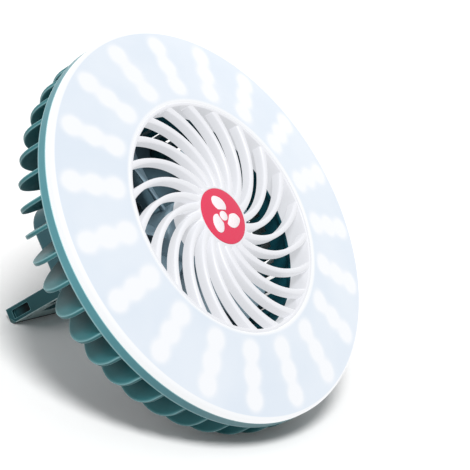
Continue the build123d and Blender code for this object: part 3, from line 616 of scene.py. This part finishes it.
# The grille's glow is painted light: it lifts the shade between the vanes, and the grille is no lamp.
white_grille_painted_light = moulded("white_grille_painted_light", "9FA0A4", "999A9F", 0.38, glow=("EDEEF1", 0.57), gloss_level=0.35)
slate_rotor = moulded("slate_rotor", "8199A5", "778F9B", 0.45)
slate_plate = moulded("slate_plate", "5E7884", "556F7B", 0.5, painted_edge_highlight="A9BCC5", gloss_level=0.3)
red_badge = moulded("red_badge", "E4355A", "DD2D53", 0.24, grain=FINE_GRAIN)
white_symbol = moulded("white_symbol", "FBF4F6", "F6EDF0", 0.28, grain=FINE_GRAIN)
opal_face = lit_diffuser("opal_face")
black_plastic = moulded("black_plastic", "24282B", "1C2022", 0.5)
board_green = moulded("board_green", "1E6B43", "185A38", 0.35)
chip_black = moulded("chip_black", "1A1B1D", "121314", 0.45)
white_reflector = moulded("white_reflector", "F4F5F6", "ECEEF0", 0.3)
cell_sleeve = moulded("cell_sleeve", "3D78A8", "356C9A", 0.3)
nylon_washer = moulded("nylon_washer", "DAD9D0", "CFCEC4", 0.5)
smoked_lens = moulded("smoked_lens", "D9ECE4", "C9DFD6", 0.12, grain=LENS_GRAIN)
button_rubber = rubber("button_rubber", "DDE3E4", "D0D8DA")
grip_rubber = rubber("grip_rubber", "4C6C70", "42605F", rib_pitch=2.2 * MM)
gasket_rubber = rubber("gasket_rubber", "C9CDD0", "BEC3C7")
bright_steel = metal("bright_steel", "C9CBD0", "AEB1B8", 0.24)
plain_steel = metal("plain_steel", "9EA2A8", "83878E", 0.36)
pod_screw_steel = cross_head("pod_screw_steel", "A9ACB1", "8C9096", POD_SCREWS)
plate_screw_steel = cross_head("plate_screw_steel", "A9ACB1", "8C9096", PLATE_SCREWS)
mark_ink = moulded("mark_ink", "1E5A63", "1A535C", 0.35, grain=FINE_GRAIN)
board_aluminium = metal("board_aluminium", "C4C8CC", "B2B7BC", 0.34)
nickel_plate = metal("nickel_plate", "CFC9BB", "B5AE9F", 0.22)
magnet_dark = metal("magnet_dark", "4A4C50", "3A3C40", 0.5)
copper_wire = metal("copper_wire", "B8693A", "8E4A26", 0.3, (1.0, 1.0, 8.0))
led_lens = glowing("led_lens", "FFF6DC", 0.8)

FINISHES = {
    "led_board": board_aluminium, "led_reflector": white_reflector, "led_chips": led_lens,
    "rim_gasket": gasket_rubber, "front_bearing": bright_steel, "rear_bearing": bright_steel,
    "bearing_tube": black_plastic, "stator_core": plain_steel, "stator_coils": copper_wire,
    "motor_screws": plain_steel, "motor_plate": slate_plate, "plate_screws": plate_screw_steel,
    "rear_pod": teal_pod, "pod_screws": pod_screw_steel, "battery_cells": cell_sleeve,
    "cell_contacts": nickel_plate, "cell_cradle": black_plastic, "main_board": board_green,
    "board_chips": chip_black, "usb_c_socket": bright_steel, "tact_switches": chip_black,
    "charge_lenses": smoked_lens, "hinge_pin": bright_steel, "hinge_washers": nylon_washer,
    "motor_can": plain_steel, "rotor_magnet": magnet_dark, "motor_shaft": bright_steel,
    "shaft_clip": plain_steel, "stand_bail": teal_stand, "foot_grip": grip_rubber,
    "fan_button": button_rubber, "light_button": button_rubber, "hub_badge": red_badge,
    "badge_symbol": white_symbol, "front_grille": white_grille_painted_light, "fan_rotor": slate_rotor,
    "light_diffuser": opal_face, "finned_housing": teal_housing,
}
for node_name, node in frame["nodes"].items():
    node.data.materials.clear()
    node.data.materials.append(FINISHES[node_name])


# ---------------------------------------------------------------- finned housing
def fin_outline(steps=26):
    """Fin's edge as (distance inward, height): straight sides joined below by half an ellipse."""
    width = FIN_REACH * cos(FIN_SWIRL) - np.sqrt(DRUM_MIDDLE**2 - (FIN_REACH * sin(FIN_SWIRL)) ** 2)
    turn = np.linspace(pi, 2 * pi, steps)
    belly = stack(width / 2 * (1 + np.cos(turn)), -FIN_STRAIGHT + (FIN_DEPTH - FIN_STRAIGHT) * np.sin(turn))
    root = -BAND_DEPTH + FLANGE_THICKNESS / 2
    return np.concatenate([[[0.0, root], [0.0, -FIN_SHOULDER]], belly, [[width, root]]])


def inset(outline, distance):
    """Closed outline moved inward along the mean of the normals of the two edges at each point."""
    edge = np.roll(outline, -1, axis=0) - outline
    normal = stack(-edge[:, 1], edge[:, 0]) / np.linalg.norm(edge, axis=1)[:, None]
    mean = normal + np.roll(normal, 1, axis=0)
    mean /= (mean * mean).sum(axis=1)[:, None] / 2
    return outline + mean * distance


def cooling_fins():
    """Each fin is its outline swept through its thickness; near both faces it shrinks along a quarter circle.

    A ring of the rounding is the outline inset by e - e cos q, at the side ± (half thickness - e + e sin q),
    e being the rounding. The edge mark, a painted highlight, is strongest in the middle of the rounding,
    weaker at its ends and 0 elsewhere.
    """
    outline = fin_outline()
    half, edge = FIN_THICKNESS / 2, FIN_EDGE_ROUND
    quarter = np.linspace(0, pi / 2, 4)
    shrink = edge - edge * np.cos(quarter)
    side = half - edge + edge * np.sin(quarter)
    insets = np.concatenate([[FIN_HIGHLIGHT_LINE], shrink[::-1], [0.0], shrink, [FIN_HIGHLIGHT_LINE]])
    middle = np.broadcast_to(outline.mean(axis=0), outline.shape)
    rings = np.stack([middle, *[inset(outline, distance) for distance in insets], middle])
    sides = np.concatenate([[-half, -half], -side[::-1], [0.0], side, [half, half]])[:, None]
    # painted highlight along the fins' rounded edges
    highlight_mark = np.array([0, 0, 0.3, 0.8, 0.8, 0.25, 0.0, 0.25, 0.8, 0.8, 0.3, 0, 0])
    inward, height = rings[..., 0], rings[..., 1]
    points = stack(FIN_REACH - inward * cos(FIN_SWIRL) - sides * sin(FIN_SWIRL),
                   -inward * sin(FIN_SWIRL) + sides * cos(FIN_SWIRL), height)
    faces = grid_quads(*points.shape[:2], wrap_columns=True)
    angles = FIN_FIRST + np.arange(FIN_COUNT) * 2 * pi / FIN_COUNT
    marks = np.tile(np.repeat(highlight_mark, len(outline)), FIN_COUNT)
    return *repeated(turned(points.reshape(-1, 3), angles), faces, FIN_COUNT), marks


def rim_band():
    """Outline of the outer band and the flange behind the lights, as (radius, height), and its edge marks,
    which paint a highlight along the band's front and rear edges.
    """
    wall, rear, flange_front = RIM_RADIUS - RIM_WALL, -BAND_DEPTH, -BAND_DEPTH + FLANGE_THICKNESS
    corners = [(RIM_RADIUS, -BAND_FRONT_HIGHLIGHT), (RIM_RADIUS, 0), (wall, 0), (wall, flange_front),
               (FLANGE_INNER, flange_front), (FLANGE_INNER, rear), (RIM_RADIUS, rear),
               (RIM_RADIUS, rear + BAND_REAR_HIGHLIGHT)]
    outline = rounded(corners, np.array([0.02, 0.25, 0.25, 0.5, 0.2, 0.2, 0.9, 0.02]) * MM)
    return outline, np.repeat([0, 1, 0, 0, 0, 0, 0.7, 0], len(outline) // len(corners))


def air_drum():
    """Wall of the fan's duct as an inner and an outer sheet of a grid, open at its windows.

    A column is a fixed azimuth and a row a fixed depth; each window leaves out one cell of both sheets, and
    four strips of faces close its sides. A window lies midway between the roots of two fins.
    """
    width = fin_outline()[-1, 0]
    lag = np.arctan2(width * sin(FIN_SWIRL), FIN_REACH - width * cos(FIN_SWIRL))
    pitch = 2 * pi / FIN_COUNT
    half_window = WINDOW_WIDTH / 2 / DRUM_OUTER
    centres = FIN_FIRST - lag + pitch / 2 + np.arange(FIN_COUNT) * pitch
    offsets = np.array([-half_window, half_window, pitch / 2])
    azimuth = (centres[:, None] + offsets).ravel()
    depth = np.array([DRUM_FRONT, WINDOW_FRONT, WINDOW_REAR, DRUM_DEPTH])
    radius = np.array([DRUM_INNER, DRUM_OUTER])[:, None, None]
    points = stack(radius * np.cos(azimuth)[:, None], radius * np.sin(azimuth)[:, None], -depth)
    columns, rows = len(azimuth), len(depth)
    cells = grid_quads(columns, rows, wrap_rows=True)
    column, row = np.divmod(np.arange(len(cells)), rows - 1)
    is_window = (column % len(offsets) == 0) & (row == 1)
    sheet, holes = cells[~is_window], cells[is_window]
    outer = columns * rows
    jambs = [np.stack([holes[:, a], holes[:, b], holes[:, b] + outer, holes[:, a] + outer], axis=-1)
             for a, b in ((0, 1), (1, 2), (2, 3), (3, 0))]
    first = np.arange(columns) * rows
    following = np.roll(first, -1)
    ends = [np.stack([first + end, following + end, following + end + outer, first + end + outer], axis=-1)
            for end in (0, rows - 1)]
    return points.reshape(-1, 3), np.concatenate([sheet, sheet + outer, *jambs, *ends])


def screw_lug(x, y):
    """Tube that takes a screw, from the drum's rear edge forward, as a lathed wall about (x, y)."""
    top = -DRUM_DEPTH + LUG_HEIGHT
    corners = [(LUG_RADIUS, -DRUM_DEPTH), (LUG_RADIUS, top), (LUG_BORE, top), (LUG_BORE, -DRUM_DEPTH)]
    return lathe(rounded(corners, SMALL_ROUND, 3), 24, (x, y))


def build_housing():
    points, faces, marks = cooling_fins()
    piece("cooling_fins", on_head(points), faces, teal_housing, "head", ("finned_housing",),
          "housing_plastic", edge=marks)
    outline, marks = rim_band()
    lathe_piece("rim_band", outline, RIM_STEPS, teal_band_painted_light, "head", replaces=("finned_housing",),
                slot="housing_plastic", edge=np.tile(marks, RIM_STEPS))
    points, faces = air_drum()
    piece("air_drum", on_head(points), faces, teal_duct_painted_shade, "head", ("finned_housing",), "housing_plastic")
    outer, inner = DRUM_INNER + LEDGE_ROOT, DRUM_INNER - LEDGE_REACH
    front, rear = -DRUM_FRONT, -DRUM_FRONT - LEDGE_THICKNESS
    ledge = [(outer, front), (outer, rear), (inner, rear), (inner, front)]
    lathe_piece("grille_ledge", rounded(ledge, SMALL_ROUND, 3), 120, teal_duct_painted_shade, "head",
                replaces=("finned_housing",), slot="housing_plastic")
    lug_x, lug_y = LUG_SPACING[0] / 2, LUG_SPACING[1] / 2
    points, faces = joined(*[screw_lug(x, y) for x in (-lug_x, lug_x) for y in (-lug_y, lug_y)])
    piece("screw_lugs", on_head(points), faces, teal_housing, "head", ("finned_housing",), "housing_plastic")


# ---------------------------------------------------------------- light ring
def build_diffuser():
    """Opal cover: outer wall, shallow cone and inner wall, as one lathed outline."""
    lip, wall = DRUM_INNER + DIFFUSER_LIP, RIM_RADIUS - RIM_WALL
    corners = [(RIM_RADIUS, 0), (RIM_RADIUS, RIM_WALL_HEIGHT), (lip, CONE_TOP), (DRUM_INNER, CONE_TOP),
               (DRUM_INNER, -DRUM_FRONT), (lip, -DRUM_FRONT), (lip, CONE_TOP - DIFFUSER_WALL),
               (wall, RIM_WALL_HEIGHT - DIFFUSER_WALL), (wall, 0)]
    rounds = [SMALL_ROUND, RIM_ROUND, LIP_ROUND, LIP_ROUND] + [SMALL_ROUND] * 5
    lathe_piece("opal_cover", rounded(corners, rounds, 7), RIM_STEPS, opal_face, "head",
                replaces=("light_diffuser",), slot="diffuser_plastic")


# ---------------------------------------------------------------- grille and badge
def spiral_vanes(stations=40):
    """Each vane is a loop carried along a spiral whose azimuth grows evenly with its radius.

    The loop has upright sides, a low round crown and two narrow chamfers behind. The crown's offsets are
    (t/2) cos q and its heights the front less the crown times (1 - sin q), q running over a half circle. The
    thickness t goes evenly from the hub's value to the ring's, less the waist times 4 s (1 - s), s being the
    share of the way out.
    """
    share = np.linspace(0, 1, stations)[:, None]
    start, end = HUB_RADIUS - VANE_ROOT, GRILLE_OUTER - GRILLE_RING_WALL / 2
    radius = between((start, end), share)
    azimuth = VANE_HUB_AZIMUTH + VANE_SWEEP * share
    half = (between(VANE_THICKNESS, share) - VANE_WAIST * 4 * share * (1 - share)) / 2
    slope = VANE_SWEEP * radius / (end - start)
    along = stack(np.cos(azimuth) - slope * np.sin(azimuth), np.sin(azimuth) + slope * np.cos(azimuth))
    normal = stack(-along[..., 1], along[..., 0]) / np.linalg.norm(along, axis=-1)[..., None]
    top = np.linspace(0, pi, 13)
    offset = np.concatenate([[1.0, 1.0], np.cos(top), [-1.0, -1.0, -0.8, 0.8]]) * half
    crown = VANE_FRONT - VANE_CROWN * (1 - np.sin(top))
    rear, shoulder = VANE_FRONT - VANE_DEPTH, VANE_FRONT - VANE_CROWN
    side = between((rear, shoulder), np.array([0.04, 0.5]))
    height = np.concatenate([side, crown, side[::-1], [rear, rear]])
    loops = stack(radius * np.cos(azimuth) + normal[..., 0] * offset,
                  radius * np.sin(azimuth) + normal[..., 1] * offset, height)
    return round_axis(loops, VANE_COUNT)


def build_grille():
    points, faces = spiral_vanes()
    piece("grille_vanes", on_head(points), faces, white_grille_painted_light, "head", ("front_grille",), "grille_plastic")
    foot, rear = HUB_RADIUS + HUB_SKIRT, -HUB_REAR
    recess = BADGE_RADIUS + BADGE_SLACK
    hub = [(0, HUB_HEIGHT), (recess, HUB_HEIGHT), (recess, VANE_FRONT), (HUB_RADIUS, VANE_FRONT),
           (foot, HUB_HEIGHT - HUB_SKIRT_DROP), (foot, rear), (0, rear)]
    outline = rounded(hub, np.array([0, 0.1, 0.3, 0.4, 2.0, 0.5, 0]) * MM, 6)
    lathe_piece("grille_hub", outline, 96, white_grille_painted_light, "head", replaces=("front_grille",),
                slot="grille_plastic", closed=False)
    inner, front = GRILLE_OUTER - GRILLE_RING_WALL, CONE_TOP - GRILLE_RING_DROP
    wall = [(GRILLE_OUTER, -DRUM_FRONT), (GRILLE_OUTER, front), (inner, front), (inner, -DRUM_FRONT)]
    lathe_piece("grille_ring", rounded(wall, np.array([0.2, 0.7, 0.7, 0.2]) * MM), 180, white_grille_painted_light, "head",
                replaces=("front_grille",), slot="grille_plastic")


def petals(count, inner, outer, half_width, sweep, thickness, stations=24):
    """Flat leaf-shaped plates round a centre, as points (x, y, height).

    A leaf's middle runs from the inner to the outer radius while its azimuth swings from -sweep/2 to sweep/2.
    At the share s of the way, its half width is the full one times sin(pi (0.16 + 0.84 s))^0.55. It is 0 at
    the tip, which closes the leaf. The shares are (1 - cos t) / 2, with t going evenly from 0 to pi.
    """
    share = (1 - np.cos(np.linspace(0, pi, stations)))[:, None] / 2
    radius = between((inner, outer), share)
    turn = pi / 2 + sweep * (share - 0.5)
    half = half_width * np.sin(pi * (0.16 + 0.84 * share)).clip(0) ** 0.55
    side = half * np.array([-1, -1, -0.9, 0.9, 1, 1])
    height = thickness * np.array([0, 0.6, 1, 1, 0.6, 0])
    loops = stack(radius * np.cos(turn) + side * np.sin(turn), radius * np.sin(turn) - side * np.cos(turn),
                  height)
    return round_axis(loops, count, cap_tip=False)


def disc_plate(radius, thickness):
    """Flat disc with a bevelled rim, lathed from its outline."""
    outline = [(0, thickness), (0.92 * radius, thickness), (radius, 0.6 * thickness), (radius, 0), (0, 0)]
    return lathe(np.array(outline), 40, closed=False)


def build_symbol():
    """Plain sign of a fan on the badge: a disc and three swept blades, a narrow gap between them."""
    blades = petals(SYMBOL_BLADES, SYMBOL_INNER + SYMBOL_GAP, SYMBOL_REACH, SYMBOL_HALF_WIDTH, SYMBOL_SWEEP,
                    SYMBOL_THICKNESS)
    points, faces = joined(blades, disc_plate(SYMBOL_INNER, SYMBOL_THICKNESS))
    points = points + [0, 0, HUB_HEIGHT + BADGE_THICKNESS]
    piece("badge_sign", on_head(points), faces, white_symbol, "head", ("badge_symbol",), "symbol_white")


def button_mark(name, body, button_x, *solids):
    """Printed sign on a button's top: its x runs across the face and its y toward the front."""
    points, faces = joined(*solids)
    placed = stack(button_x + points[..., 0], POD_TOP + BUTTON_PROUD + points[..., 2],
                   points[..., 1] - POD_MID_DEPTH)
    piece(name, on_head(placed), faces, mark_ink, body)


def build_button_marks():
    """A small fan sign on one button and a small sun on the other."""
    shared = {"outer": BUTTON_MARK_REACH, "thickness": BUTTON_MARK_THICKNESS}
    blades = petals(SYMBOL_BLADES, inner=0.9 * MM, half_width=0.95 * MM, sweep=radians(26), **shared)
    hub = disc_plate(radius=0.6 * MM, thickness=BUTTON_MARK_THICKNESS)
    button_mark("fan_button_sign", "fan_push", FAN_BUTTON_X, blades, hub)
    rays = petals(count=8, inner=1.7 * MM, half_width=0.22 * MM, sweep=0.0, **shared)
    sun = disc_plate(radius=1.15 * MM, thickness=BUTTON_MARK_THICKNESS)
    button_mark("light_button_sign", "light_push", LIGHT_BUTTON_X, rays, sun)


def build_badge():
    """Disc whose face is nearly flat: its height falls with the eighth power of the radius."""
    share = np.linspace(0, 1, 14)
    radius = BADGE_RADIUS * share
    top = HUB_HEIGHT + BADGE_THICKNESS
    face = stack(radius, top - BADGE_DOME * share**8)
    rim = np.array([(BADGE_RADIUS, top - BADGE_EDGE), (BADGE_RADIUS, HUB_HEIGHT), (0, HUB_HEIGHT)])
    lathe_piece("fan_badge", np.concatenate([face, rim]), 96, red_badge, "head", replaces=("hub_badge",),
                slot="badge_red", closed=False)


# ---------------------------------------------------------------- fan rotor
def rotor_blades(stations=18, steps=24):
    """Each blade is an aerofoil loop carried outward while its chord grows and its pitch flattens.

    The loop is (chord/2 cos q, thickness/2 sin q (1.15 + 0.35 cos q)), q running round. In the last tenth,
    with the share u of it done, the thickness shrinks as sqrt(1 - u²), though never to 0, and the chord as
    three quarters and one quarter of that.
    """
    share = np.linspace(0, 1, stations)[:, None]
    tip = np.sqrt(np.clip(1 - ((share - 0.9) / 0.1).clip(0) ** 2, 0.02, 1))
    radius = between((FAN_HUB_RADIUS - BLADE_ROOT, FAN_RADIUS), share)
    chord = between(BLADE_CHORD, share) * (0.75 + 0.25 * tip)
    thickness = between(BLADE_THICKNESS, share) * tip
    pitch = np.radians(between(BLADE_PITCH, share))
    turn = np.linspace(0, 2 * pi, steps, endpoint=False)[None]
    lengthwise = chord / 2 * np.cos(turn)
    across = thickness / 2 * np.sin(turn) * (1.15 + 0.35 * np.cos(turn))
    side = lengthwise * np.cos(pitch) - across * np.sin(pitch)
    height = lengthwise * np.sin(pitch) + across * np.cos(pitch) - FAN_MID_DEPTH
    loops = stack(radius * np.cos(side / radius), radius * np.sin(side / radius), height)
    return round_axis(loops, FAN_BLADES)


def build_rotor():
    points, faces = rotor_blades()
    piece("rotor_blades", on_head(points), faces, slate_rotor, "rotor", ("fan_rotor",), "rotor_plastic")
    front, rear = -FAN_HUB_FRONT, -FAN_HUB_FRONT - FAN_HUB_HEIGHT
    wall, behind_face, boss_rear = FAN_HUB_RADIUS - FAN_HUB_WALL, front - FAN_HUB_FACE, front - FAN_BOSS_REAR
    cup = [(SHAFT_RADIUS, front), (FAN_HUB_RADIUS, front), (FAN_HUB_RADIUS, rear), (wall, rear),
           (wall, behind_face), (FAN_BOSS_RADIUS, behind_face), (FAN_BOSS_RADIUS, boss_rear),
           (SHAFT_RADIUS, boss_rear)]
    outline = rounded(cup, np.array([0.3, 2.5, 0.4, 0.4, 0.8, 0.3, 0.3, 0.3]) * MM, 6)
    lathe_piece("rotor_cup", outline, 72, slate_rotor, "rotor", replaces=("fan_rotor",), slot="rotor_plastic")


build_housing()
build_diffuser()
build_grille()
build_badge()
build_symbol()
build_button_marks()
build_rotor()


# ---------------------------------------------------------------- floor, light and camera
FLOOR_REACH = 6.0
FLOOR_LIFT = 0.03  # added to the floor as the camera sees it
WORLD_LIGHT = 0.31  # surroundings as light on the object; the camera sees them at 1
CAMERA_AZIMUTH = radians(-55.71)  # from straight in front toward the object's left
CAMERA_ELEVATION = radians(19.86)
CAMERA_ROLL = radians(13.53)
CAMERA_DISTANCE = 1.495
CAMERA_LENS = 209.75  # millimetres, as its sensor's width is
CAMERA_SENSOR = 36.0
CAMERA_AIM = np.array([8.79, -10.73, 8.69]) * MM  # in the head's frame


def build_floor():
    """Flat white sheet far larger than the view, which takes the object's shadow."""
    corners = [(x * FLOOR_REACH, y * FLOOR_REACH, 0) for x, y in ((-1, -1), (1, -1), (1, 1), (-1, 1))]
    mesh = bpy.data.meshes.new("floor")
    mesh.from_pydata(corners, [], [(0, 1, 2, 3)])
    board = Board("pale_floor")
    rays = [board.node("ShaderNodeLightPath", output=f"Is {ray} Ray")
            for ray in ("Camera", "Glossy", "Transmission")]
    seen = rays[0].math("MAXIMUM", rays[1]).math("MAXIMUM", rays[2])
    shade = board.mixed(seen, colour("B4B4B4"), colour("FDFDFD"))
    lift = board.mixed(seen, colour("000000"), colour("FFFFFF"))
    mesh.materials.append(board.finish(Base_Color=shade, Roughness=0.95, Emission_Color=lift,
                                       Emission_Strength=FLOOR_LIFT))
    floor = bpy.data.objects.new("floor", mesh)
    bpy.context.scene.collection.objects.link(floor)


def sun_lamp(direction, strength, spread):
    """Distant soft lamp that shines from a direction; spread is its width as an angle."""
    lamp = bpy.data.lights.new("key_lamp", "SUN")
    lamp.energy = strength
    lamp.angle = spread
    made = bpy.data.objects.new("key_lamp", lamp)
    made.rotation_euler = Vector(direction).to_track_quat("Z", "Y").to_euler()
    bpy.context.scene.collection.objects.link(made)


def area_lamp(name, direction, distance, size, power):
    """Square soft lamp that looks at the head from a direction."""
    lamp = bpy.data.lights.new(name, "AREA")
    lamp.shape = "SQUARE"
    lamp.size = size
    lamp.energy = power
    made = bpy.data.objects.new(name, lamp)
    away = Vector(direction).normalized()
    made.location = Vector(HEAD_ORIGIN) + away * distance
    made.rotation_euler = away.to_track_quat("Z", "Y").to_euler()
    bpy.context.scene.collection.objects.link(made)


def build_world():
    """Even white surroundings: dimmer as light on the object than as seen by the camera or in reflections."""
    world = bpy.data.worlds.new("studio")
    world.use_nodes = True
    tree = world.node_tree
    tree.nodes.clear()
    path = tree.nodes.new("ShaderNodeLightPath")
    seen = path.outputs["Is Camera Ray"]
    for ray in ("Is Transmission Ray", "Is Glossy Ray"):
        either = tree.nodes.new("ShaderNodeMath")
        either.operation = "MAXIMUM"
        tree.links.new(seen, either.inputs[0])
        tree.links.new(path.outputs[ray], either.inputs[1])
        seen = either.outputs[0]
    strength = tree.nodes.new("ShaderNodeMapRange")
    strength.inputs["To Min"].default_value = WORLD_LIGHT
    strength.inputs["To Max"].default_value = 1.0
    tree.links.new(seen, strength.inputs["Value"])
    background = tree.nodes.new("ShaderNodeBackground")
    background.inputs["Color"].default_value = (1, 1, 1, 1)
    tree.links.new(strength.outputs[0], background.inputs["Strength"])
    output = tree.nodes.new("ShaderNodeOutputWorld")
    tree.links.new(background.outputs[0], output.inputs["Surface"])
    bpy.context.scene.world = world


def build_camera():
    """Camera on a sphere about the point it aims at, rolled about its own line of sight."""
    back = Vector((sin(CAMERA_AZIMUTH) * cos(CAMERA_ELEVATION), -cos(CAMERA_AZIMUTH) * cos(CAMERA_ELEVATION),
                   sin(CAMERA_ELEVATION)))
    level = Vector((cos(CAMERA_AZIMUTH), sin(CAMERA_AZIMUTH), 0))
    upright = back.cross(level)
    right = level * cos(CAMERA_ROLL) + upright * sin(CAMERA_ROLL)
    up = back.cross(right)
    turn = Matrix((right, up, back)).transposed().to_4x4()
    camera = bpy.data.cameras.new("camera")
    camera.lens = CAMERA_LENS
    camera.sensor_width = CAMERA_SENSOR
    made = bpy.data.objects.new("camera", camera)
    aim = Vector(on_head(CAMERA_AIM))
    made.matrix_world = Matrix.Translation(aim + back * CAMERA_DISTANCE) @ turn
    bpy.context.scene.collection.objects.link(made)
    bpy.context.scene.camera = made


build_floor()
build_world()
build_camera()
sun_lamp(direction=(-0.8, -0.6, 1.3), strength=2.75, spread=radians(16))
area_lamp("side_lamp", direction=(-1.0, 0.3, 0.4), distance=1.8, size=1.0, power=6)
area_lamp("far_lamp", direction=(1.0, 0.5, 0.35), distance=1.8, size=1.0, power=4)
bpy.context.scene.view_settings.view_transform = "Standard"
